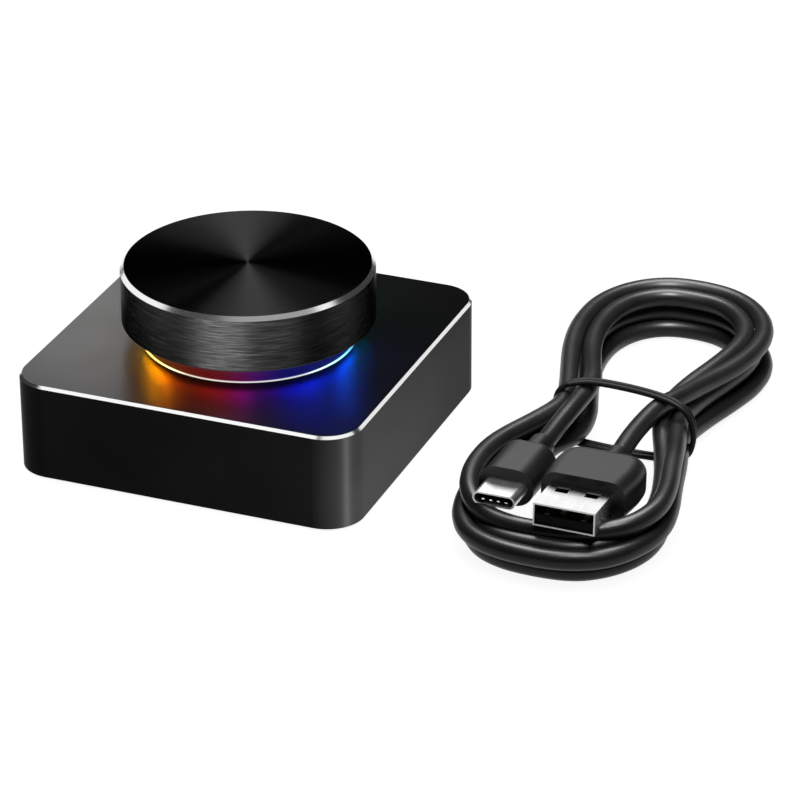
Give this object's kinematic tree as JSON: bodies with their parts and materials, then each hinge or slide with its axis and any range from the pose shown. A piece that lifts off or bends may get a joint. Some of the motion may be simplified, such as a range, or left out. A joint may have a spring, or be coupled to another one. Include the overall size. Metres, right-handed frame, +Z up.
{
  "type": "usb volume control knob",
  "caption": "Desk volume control: a turning and pressing aluminium knob over a lit ring on a low square base with a USB-C socket, with a tied USB-C to USB-A cable.",
  "frame": {"origin": "centre of the base's footprint, on the desk under the foot pad", "axes": "+Z up along the knob shaft, -Y the front face, +Y out of the cable socket at the rear, +X to the right, where the cable lies"},
  "size_m": [0.1282, 0.1137, 0.0351],
  "materials": {
    "black_anodised": "black anodised, fine satin, bright cut edges",
    "knob_anodised": "black anodised, spun top, brushed side, bright cut edges",
    "milky_guide": "milky translucent",
    "plate_steel": "black powder coat",
    "screw_steel": "black zinc",
    "foot_silicone": "matte",
    "board_laminate": "solder mask",
    "board_screw_steel": "zinc",
    "led_body": "white reflector",
    "chip_epoxy": "moulded epoxy",
    "small_parts": "ceramic and epoxy",
    "socket_steel": "nickel plated",
    "tongue_lcp": "moulded",
    "encoder_body": "moulded",
    "encoder_metal": "plated",
    "pin_brass": "tinned",
    "dome_steel": "spring steel",
    "plunger_plastic": "moulded",
    "rotor_plastic": "moulded",
    "shaft_metal": "machined",
    "insert_abs": "moulded",
    "usb_a_steel": "nickel plated, bright satin",
    "usb_c_steel": "nickel plated, satin",
    "plug_insulator": "moulded",
    "contact_gold": "gold plated",
    "grip_pvc": "satin black moulding",
    "cable_pvc": "satin black jacket",
    "tie_plastic": "black plastic over wire"
  },
  "bodies": {
    "base": {"housing": "black_anodised", "bottom_plate": "plate_steel", "bottom_screws": "screw_steel", "foot_pad": "foot_silicone", "light_guide": "milky_guide", "main_board": "board_laminate", "board_screws": "board_screw_steel", "rgb_leds": "led_body", "controller_chip": "chip_epoxy", "board_parts": "small_parts", "usb_c_socket_shell": "socket_steel", "usb_c_socket_tongue": "tongue_lcp", "encoder_base": "encoder_body", "encoder_bushing": "encoder_metal", "encoder_pins": "pin_brass", "detent_spring": "dome_steel", "switch_dome": "dome_steel"},
    "rotor": {"encoder_rotor": "rotor_plastic", "rotor_wipers": "pin_brass"},
    "knob": {"knob_shell": "knob_anodised", "knob_insert": "insert_abs", "encoder_shaft": "shaft_metal"},
    "plunger": {"switch_plunger": "plunger_plastic"},
    "cable": {"usb_a_plug_shell": "usb_a_steel", "usb_a_plug_insulator": "plug_insulator", "usb_a_plug_contacts": "contact_gold", "usb_a_plug_grip": "grip_pvc", "usb_c_plug_shell": "usb_c_steel", "usb_c_plug_insulator": "plug_insulator", "usb_c_plug_contacts": "contact_gold", "usb_c_plug_grip": "grip_pvc", "cable_lead_c": "cable_pvc", "cable_lead_a": "cable_pvc", "cable_hank": "cable_pvc", "cable_tie": "tie_plastic"}
  },
  "joints": [
    {"name": "knob_spin", "type": "hinge", "parent": "base", "child": "rotor", "pos_m": [0, 0, 0.0115], "axis": [0, 0, 1], "continuous": true},
    {"name": "knob_press", "type": "slide", "parent": "rotor", "child": "knob", "axis": [0, 0, -1], "range_m": [0, 0.0005], "stiffness_N_per_m": 4000, "springref_m": -0.0008},
    {"name": "plunger_travel", "type": "slide", "parent": "base", "child": "plunger", "axis": [0, 0, -1], "range_m": [0, 0.0005], "deforming": ["switch_dome"]},
    {"name": "cable_lift", "type": "slide", "parent": "base", "child": "cable", "axis": [0, 0, 1], "range_m": [0, 0.05]}
  ],
  "couplings": [
    {"joint": "plunger_travel", "follows": "knob_press", "ratio": 1}
  ]
}
